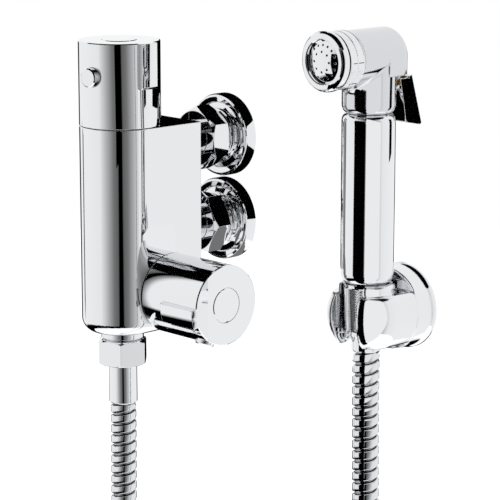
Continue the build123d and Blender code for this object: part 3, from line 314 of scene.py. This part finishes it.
coneRows = round((coneNut["high"] - coneNut["low"]) / coneNut["rise"])
coneBand = [coneNut["low"] + row * coneNut["rise"] for row in range(coneRows + 1)]
coneOutline = [(7.56, -83.1), (9.2, -83.1), (9.5, -82.6), (9.6, -81.3), (9.6, -80.7), (10.5, -80.45)]
coneOutline += [(coneRadius(height), height) for height in coneBand]
coneOutline += [(coneRadius(-57.9), -57.9), (11.85, -57.0), (11.6, -56.6), (10.2, -56.6), (10.2, -69.0),
                (7.56, -69.0)]
coneBm = turned(coneOutline, coneNut["steps"])
pressKnurl(coneBm, coneNut, coneNut["steps"], coneNut["pressOutside"])
addTurned("hose_cone_nut", coneBm, Matrix.Translation(coneNut["place"]), coneNut["sharpAngle"])

# Nozzle ring: two fine bands of straight knurling round the spray end.
nozzleRing = {"place": (*handsetAxis, 0.056), "steps": 216, "pressOutside": 14.0, "sharpAngle": 12,
              "bands": [{"low": 18.5, "high": 22.0, "depth": 0.2, "crossed": False},
                        {"low": 22.9, "high": 26.6, "depth": 0.2, "crossed": False}]}
ringOutline = [(11.0, 17.2), (13.8, 17.2), (14.2, 17.6), (14.2, 18.2), (14.2, 18.5), (14.2, 22.0),
               (14.2, 22.3), (14.2, 22.6), (14.2, 22.9), (14.2, 26.6), (14.2, 26.9), (14.2, 27.4),
               (13.8, 27.8), (10.4, 27.8), (10.4, 24.4), (11.0, 24.4)]
ringBm = turned(ringOutline, nozzleRing["steps"])
for band in nozzleRing["bands"]:
    pressKnurl(ringBm, band, nozzleRing["steps"], nozzleRing["pressOutside"])
addTurned("nozzle_ring", ringBm, Matrix.Translation(nozzleRing["place"]) @ facing, nozzleRing["sharpAngle"])

# Wall connectors: pipe thread on the length that goes into the wall, plain behind the flange.
connector = {"pitch": 1.8, "crest": 10.4, "root": 9.3, "threadStart": -10.6, "turns": 5, "steps": 96,
             "threadShape": [("root", 0.0), ("crest", 0.65), ("crest", 0.95), ("root", 1.6)],
             "sharpAngle": 24, "heights": {"upper_wall_connector": 0.0, "lower_wall_connector": -0.046}}
threadOutline = []
for turn in range(connector["turns"]):
    start = connector["threadStart"] + turn * connector["pitch"]
    threadOutline += [(connector[level], start + further) for level, further in connector["threadShape"]]
connectorOutline = [(7.0, -11.0), (9.0, -11.0)] + threadOutline
connectorOutline += [(9.2, -0.2), (9.2, 10.9), (11.9, 10.9), (11.9, 18.5), (7.0, 18.5)]
for node, height in connector["heights"].items():
    place = Matrix.Translation((0, 0, height)) @ facing
    addTurned(node, turned(connectorOutline, connector["steps"]), place, connector["sharpAngle"])
print("turned pieces made: 4")

# Trigger cheeks run forward past the neck. Their fronts slope inwards, so no bright edge faces the camera.
cheek = {"outer": 0.0121, "wall": 0.0016, "slopeFrom": -0.0138, "sharpAngle": 24,
         "front": [(0.0146, 0.0452), (0.0092, 0.0452), (0.0118, 0.034), (0.0136, 0.0242), (0.0152, 0.0236)]}
cheekBm = bmesh.new()
for side in (-1, 1):
    outline = [cheekBm.verts.new((handsetAxis[0] + side * cheek["outer"], handsetAxis[1] + back, height))
               for back, height in cheek["front"]]
    flat = cheekBm.faces.new(outline)
    pushed = bmesh.ops.extrude_face_region(cheekBm, geom=[flat])
    moved = [v for v in pushed["geom"] if isinstance(v, bmesh.types.BMVert)]
    bmesh.ops.translate(cheekBm, verts=moved, vec=(-side * cheek["wall"], 0, 0))
    front = [v for v in moved if v.co.y < cheek["slopeFrom"]]
    bmesh.ops.translate(cheekBm, verts=front, vec=(0, cheek["wall"], 0))
bmesh.ops.recalc_face_normals(cheekBm, faces=cheekBm.faces)
cheekMesh = meshFrom(cheekBm, "triggerCheeks", cheek["sharpAngle"])
addPiece("triggerCheeks", cheekMesh, finishes[slotOf["trigger_lever"]], bodyOf["trigger_lever"])

# The hose follows the solid's route as one smooth line, with helical ribs at about the photograph's pitch.
hoseSet = {
    "route": [(0, -0.076, -0.1356), (0, -0.076, -0.215), (-0.0047, -0.0777, -0.312), (-0.011, -0.08, -0.402),
              (-0.0122, -0.0805, -0.486), (0.0332, -0.0638, -0.535), (0.0977, -0.0402, -0.535),
              (0.1431, -0.0236, -0.486), (0.141, -0.0243, -0.388), (0.1355, -0.0263, -0.29),
              (0.131, -0.028, -0.19), (0.131, -0.028, -0.0915)],
    "crest": 0.00678, "root": 0.0053, "pitch": 0.0056, "sides": 36, "steps": 2000, "length": 0.94,
    "sharpAngle": 40,
    "ribShape": [(0.0, 0.0), (0.06, 0.0), (0.09, 0.55), (0.14, 0.9), (0.22, 1.0), (0.7, 1.0), (0.8, 0.9),
                 (0.86, 0.55), (0.89, 0.0)],
}


def smoothLine(points):
    curve = bpy.data.curves.new("hoseLine", "CURVE")
    curve.dimensions = "3D"
    line = curve.splines.new("NURBS")
    line.points.add(len(points) - 1)
    for point, place in zip(line.points, points):
        point.co = (*place, 1)
    line.order_u = 3
    line.use_endpoint_u = True
    line.resolution_u = 24
    guide = bpy.data.objects.new("hoseLine", curve)
    scene.collection.objects.link(guide)
    bpy.context.view_layer.update()
    mesh = bpy.data.meshes.new_from_object(guide)
    found = [v.co.copy() for v in mesh.vertices]
    bpy.data.objects.remove(guide)
    bpy.data.meshes.remove(mesh)
    return found


# Even steps along the line, each with the two directions across it.
def lineFrames(points, side, count):
    reach = [0.0]
    for a, b in zip(points, points[1:]):
        reach.append(reach[-1] + (b - a).length)
    even, index = [], 0
    for step in range(count + 1):
        want = reach[-1] * step / count
        while index < len(points) - 2 and reach[index + 1] < want:
            index += 1
        share = (want - reach[index]) / (reach[index + 1] - reach[index])
        even.append(points[index].lerp(points[index + 1], share))
    frames = []
    for index, point in enumerate(even):
        along = (even[min(index + 1, count)] - even[max(index - 1, 0)]).normalized()
        across = (side - along * side.dot(along)).normalized()
        frames.append((point, across, along.cross(across)))
    return frames, reach[-1]


# A flat grid rolled round the line. Its rows climb one rib a turn, so the seam closes on the next rib.
def ribbedTube(settings):
    line = smoothLine(settings["route"])
    side = (line[-1] - line[0]).cross(Vector((0, 0, 1))).normalized()
    count = settings["steps"]
    frames, length = lineFrames(line, side, count)
    ribs = int(length / settings["pitch"])
    pitch = length / ribs
    sides, shape = settings["sides"], settings["ribShape"]
    rows = [((rib + share) * pitch, rise) for rib in range(-1, ribs + 1) for share, rise in shape]
    bm = bmesh.new()
    bmesh.ops.create_grid(bm, x_segments=sides, y_segments=len(rows) - 1, size=1.0)
    for vert in bm.verts:
        column = round((vert.co.x + 1) / 2 * sides)
        start, rise = rows[round((vert.co.y + 1) / 2 * (len(rows) - 1))]
        reach = start + pitch * column / sides
        inside = 0 < reach < length
        spot = min(max(reach / length, 0.0), 1.0) * count
        low = min(int(spot), count - 1)
        place, across, other = [a.lerp(b, spot - low) for a, b in zip(frames[low], frames[low + 1])]
        angle = 2 * math.pi * column / sides
        radius = settings["root"] + (settings["crest"] - settings["root"]) * rise * inside
        vert.co = place + (across * math.cos(angle) + other * math.sin(angle)) * radius
    bmesh.ops.remove_doubles(bm, verts=bm.verts, dist=2e-6)
    bmesh.ops.dissolve_degenerate(bm, edges=bm.edges, dist=1e-6)
    bmesh.ops.recalc_face_normals(bm, faces=bm.faces)
    middles = [place for place, across, other in frames]
    return meshFrom(bm, "hoseWound", settings["sharpAngle"]), middles, length


hoseMesh, hoseLine, hoseLength = ribbedTube(hoseSet)
print("hose centreline", round(hoseLength, 4), "m, triangles about", 2 * len(hoseMesh.polygons))
hosePiece = addPiece("hoseWound", hoseMesh, finishes["hose_steel"], None, ["hose"])
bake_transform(hosePiece)

# The studio: a pale floor far below, and a screen, a roof and cards that only reflections see.
studio = {"centre": (0.07, -0.05), "radius": 1.6, "floorHeight": -1.6, "roofHeight": 1.3, "floorSize": 6.0,
          "segments": 144, "cameraSide": 46.3, "skirtLow": -0.95, "skirtTop": -0.8, "rightX": 0.72,
          "rightY": 0.69, "rightDark": 0.2, "rightWhite": 0.45, "stripDark": 0.088, "stripWhite": 0.1,
          "stripLow": -0.05, "stripTop": 0.0, "roofDark": 0.8, "roofWhite": 1.0, "floorLift": 0.5,
          "skyLevel": 0.75}
# Light level by degrees from the camera's side: a narrow black flag, grey scrims, and white behind.
screenLevels = [(0, 0.0), (5.5, 0.0), (7.5, 0.13), (20, 0.2), (38, 0.5), (60, 0.95), (100, 1.0),
                (260, 1.0), (300, 0.95), (322, 0.5), (340, 0.2), (352.5, 0.13), (354.5, 0.0), (360, 0.0)]
# Cards placed for this camera: middle and half sizes in metres, turn in degrees, and light level.
cards = {
    "gripFlag": {"middle": (0.1405, -0.076, -0.13), "half": (0.0195, 0.172), "turn": 0, "level": 0.0},
    "gripFill": {"middle": (0.29475, -0.024, -0.04), "half": (0.1505, 0.085), "turn": 9.95, "level": 1.0},
    "triggerFlag": {"middle": (0.17, 0.0225, 0.02), "half": (0.0175, 0.022), "turn": 90, "level": 0.0},
    "knobFill": {"middle": (0.09, -0.022, -0.083), "half": (0.026, 0.026), "turn": 90, "level": 1.0},
    "nozzleFlag": {"middle": (0.1275, -0.2, 0.03), "half": (0.0325, 0.06), "turn": 0, "level": 0.0},
    "flangeFlag": {"middle": (-0.104, -0.11, -0.054), "half": (0.032, 0.052), "turn": 0, "level": 0.0},
    "inletFlag": {"middle": (0.0, 0.004, 0.081), "half": (0.06, 0.069), "turn": 0, "level": 0.0},
    "gapFlag": {"middle": (0.0, 0.004, -0.027), "half": (0.045, 0.017), "turn": 0, "level": 0.0},
    "lowFlag": {"middle": (0.0, 0.004, -0.086), "half": (0.045, 0.017), "turn": 0, "level": 0.2},
}


def litMaterial(name, build=None, level=1.0):
    material, tree, output = newMaterial(name)
    bright = addNode(tree, "ShaderNodeEmission", {"Color": (level, level, level, 1), "Strength": 1.0})
    if build:
        build(tree, bright)
    tree.links.new(bright.outputs[0], output.inputs["Surface"])
    return material


def centredPlace(tree):
    spot = addNode(tree, "ShaderNodeTexCoord")
    moved = addNode(tree, "ShaderNodeVectorMath", {"operation": "SUBTRACT", 1: (*studio["centre"], 0)},
                    {0: spot.outputs["Object"]})
    return addNode(tree, "ShaderNodeSeparateXYZ", None, {"Vector": moved})


# Round the screen by angle, with a dark skirt below except at the right, and a dark strip low at the back.
def screenLight(tree, bright):
    place = centredPlace(tree)
    forward = addNode(tree, "ShaderNodeMath", {"operation": "MULTIPLY", 1: -1.0}, {0: place.outputs["Y"]})
    around = addNode(tree, "ShaderNodeMath", {"operation": "ARCTAN2"}, {0: place.outputs["X"], 1: forward})
    side = math.radians(studio["cameraSide"])
    fromCamera = addNode(tree, "ShaderNodeMath", {"operation": "SUBTRACT", 1: side}, {0: around})
    turns = addNode(tree, "ShaderNodeMath", {"operation": "DIVIDE", 1: 2 * math.pi}, {0: fromCamera})
    share = addNode(tree, "ShaderNodeMath", {"operation": "FLOORED_MODULO", 1: 1.0}, {0: turns})
    ramp = addNode(tree, "ShaderNodeValToRGB", None, {"Fac": share})
    ramp.color_ramp.elements.remove(ramp.color_ramp.elements[1])
    for index, (angle, level) in enumerate(screenLevels):
        element = ramp.color_ramp.elements[0] if index == 0 else ramp.color_ramp.elements.new(angle / 360)
        element.position = angle / 360
        element.color = (level, level, level, 1)
    tree.links.new(ramp.outputs["Color"], bright.inputs["Color"])
    depth = addNode(tree, "ShaderNodeMath", {"operation": "MULTIPLY", 1: studio["rightY"]},
                    {0: place.outputs["Y"]})
    rightward = addNode(tree, "ShaderNodeMath", {"operation": "MULTIPLY_ADD", 1: studio["rightX"]},
                        {0: place.outputs["X"], 2: depth})
    skirt = addNode(tree, "ShaderNodeMapRange",
                    {"From Min": studio["skirtLow"], "From Max": studio["skirtTop"]},
                    {"Value": place.outputs["Z"]})
    rightSide = addNode(tree, "ShaderNodeMapRange",
                        {"From Min": studio["rightDark"], "From Max": studio["rightWhite"]},
                        {"Value": rightward})
    aboveSkirt = addNode(tree, "ShaderNodeMath", {"operation": "MAXIMUM"}, {0: skirt, 1: rightSide})
    fromBack = addNode(tree, "ShaderNodeMath", {"operation": "SUBTRACT", 1: 0.5}, {0: share})
    offBack = addNode(tree, "ShaderNodeMath", {"operation": "ABSOLUTE"}, {0: fromBack})
    beside = addNode(tree, "ShaderNodeMapRange",
                     {"From Min": studio["stripDark"], "From Max": studio["stripWhite"]}, {"Value": offBack})
    above = addNode(tree, "ShaderNodeMapRange",
                    {"From Min": studio["stripLow"], "From Max": studio["stripTop"]},
                    {"Value": place.outputs["Z"]})
    backStrip = addNode(tree, "ShaderNodeMath", {"operation": "MAXIMUM"}, {0: beside, 1: above})
    level = addNode(tree, "ShaderNodeMath", {"operation": "MULTIPLY"}, {0: aboveSkirt, 1: backStrip})
    tree.links.new(level.outputs[0], bright.inputs["Strength"])


# The roof is white well behind the wall line and dark in front of it.
def roofLight(tree, bright):
    place = centredPlace(tree)
    level = addNode(tree, "ShaderNodeMapRange",
                    {"From Min": studio["roofDark"], "From Max": studio["roofWhite"]},
                    {"Value": place.outputs["Y"]})
    tree.links.new(level.outputs[0], bright.inputs["Strength"])


def stageObject(name, bm, material, onlyReflected):
    mesh = bpy.data.meshes.new(name)
    bm.to_mesh(mesh)
    bm.free()
    mesh.materials.append(material)
    thing = bpy.data.objects.new(name, mesh)
    scene.collection.objects.link(thing)
    if onlyReflected:
        for setting in ("camera", "diffuse", "shadow", "transmission", "volume_scatter"):
            setattr(thing, "visible_" + setting, False)


screenBm = bmesh.new()
bmesh.ops.create_cone(screenBm, cap_ends=False, segments=studio["segments"], radius1=studio["radius"],
                      radius2=studio["radius"], depth=studio["roofHeight"] - studio["floorHeight"])
middle = (studio["roofHeight"] + studio["floorHeight"]) / 2
bmesh.ops.translate(screenBm, verts=screenBm.verts, vec=(*studio["centre"], middle))
stageObject("studioScreen", screenBm, litMaterial("studio screen", screenLight), True)
roofBm = bmesh.new()
bmesh.ops.create_circle(roofBm, cap_ends=True, segments=studio["segments"], radius=studio["radius"])
bmesh.ops.translate(roofBm, verts=roofBm.verts, vec=(*studio["centre"], studio["roofHeight"]))
stageObject("studioRoof", roofBm, litMaterial("studio roof", roofLight), True)
for name, card in cards.items():
    cardBm = bmesh.new()
    bmesh.ops.create_grid(cardBm, x_segments=1, y_segments=1, size=1.0)
    bmesh.ops.scale(cardBm, verts=cardBm.verts, vec=(*card["half"], 1))
    place = Matrix.Translation(card["middle"]) @ Matrix.Rotation(math.radians(card["turn"]), 4, "Z")
    bmesh.ops.transform(cardBm, matrix=place @ facing, verts=cardBm.verts)
    stageObject(name, cardBm, litMaterial(name + " paper", level=card["level"]), True)


# White where the camera, metal and glass see it, over a pale ground that takes the shadow.
def seenWhite(tree):
    path = addNode(tree, "ShaderNodeLightPath")
    seen = addNode(tree, "ShaderNodeMath", {"operation": "MAXIMUM"},
                   {0: path.outputs["Is Camera Ray"], 1: path.outputs["Is Glossy Ray"]})
    return addNode(tree, "ShaderNodeMath", {"operation": "MAXIMUM"},
                   {0: seen, 1: path.outputs["Is Transmission Ray"]})


floorPaper, floorTree, floorOut = newMaterial("pale studio floor")
ground = addNode(floorTree, "ShaderNodeBsdfDiffuse", {"Color": linear("#F4F4F4")})
rise = addNode(floorTree, "ShaderNodeMath", {"operation": "MULTIPLY", 1: studio["floorLift"]},
               {0: seenWhite(floorTree)})
lift = addNode(floorTree, "ShaderNodeEmission", None, {"Strength": rise})
added = addNode(floorTree, "ShaderNodeAddShader")
floorTree.links.new(ground.outputs[0], added.inputs[0])
floorTree.links.new(lift.outputs[0], added.inputs[1])
floorTree.links.new(added.outputs[0], floorOut.inputs["Surface"])
floorBm = bmesh.new()
bmesh.ops.create_grid(floorBm, x_segments=1, y_segments=1, size=studio["floorSize"])
bmesh.ops.translate(floorBm, verts=floorBm.verts, vec=(0, 0, studio["floorHeight"]))
stageObject("studioFloor", floorBm, floorPaper, False)

# Plain light: an even white world and one soft lamp from above the camera.
world = bpy.data.worlds.new("studio") if scene.world is None else scene.world
scene.world = world
world.use_nodes = True
worldTree = world.node_tree
worldTree.nodes.clear()
sky = addNode(worldTree, "ShaderNodeBackground", {"Color": (1, 1, 1, 1), "Strength": studio["skyLevel"]})
white = addNode(worldTree, "ShaderNodeBackground", {"Color": (1, 1, 1, 1), "Strength": 1.0})
mixedSky = addNode(worldTree, "ShaderNodeMixShader", None, {"Fac": seenWhite(worldTree)})
worldTree.links.new(sky.outputs[0], mixedSky.inputs[1])
worldTree.links.new(white.outputs[0], mixedSky.inputs[2])
worldOut = addNode(worldTree, "ShaderNodeOutputWorld")
worldTree.links.new(mixedSky.outputs[0], worldOut.inputs["Surface"])
lampSet = {"place": (0.9, -0.9, 1.8), "size": 1.2, "watts": 12.0}
lamp = bpy.data.lights.new("softLamp", "AREA")
lamp.shape, lamp.size, lamp.energy = "DISK", lampSet["size"], lampSet["watts"]
lampPlace = bpy.data.objects.new("softLamp", lamp)
lampPlace.location = lampSet["place"]
aim = Vector((*studio["centre"], 0)) - lampPlace.location
lampPlace.rotation_euler = aim.to_track_quat("-Z", "Y").to_euler()
scene.collection.objects.link(lampPlace)

# The camera stands at the right of the front, slightly above, with a long lens.
cameraSet = {"place": (0.879687, -0.822928, 0.191126), "azimuth": 46.331, "pitch": 11.983, "lens": 162.104,
             "sensor": 36.0, "near": 0.01, "far": 50.0}
camera = bpy.data.cameras.new("photoCamera")
camera.lens, camera.sensor_width = cameraSet["lens"], cameraSet["sensor"]
camera.clip_start, camera.clip_end = cameraSet["near"], cameraSet["far"]
cameraPlace = bpy.data.objects.new("photoCamera", camera)
cameraPlace.location = cameraSet["place"]
cameraPlace.rotation_euler = (math.radians(90 - cameraSet["pitch"]), 0, math.radians(cameraSet["azimuth"]))
scene.collection.objects.link(cameraPlace)
scene.camera = cameraPlace
scene.view_settings.view_transform = "Standard"

print("scene ready")
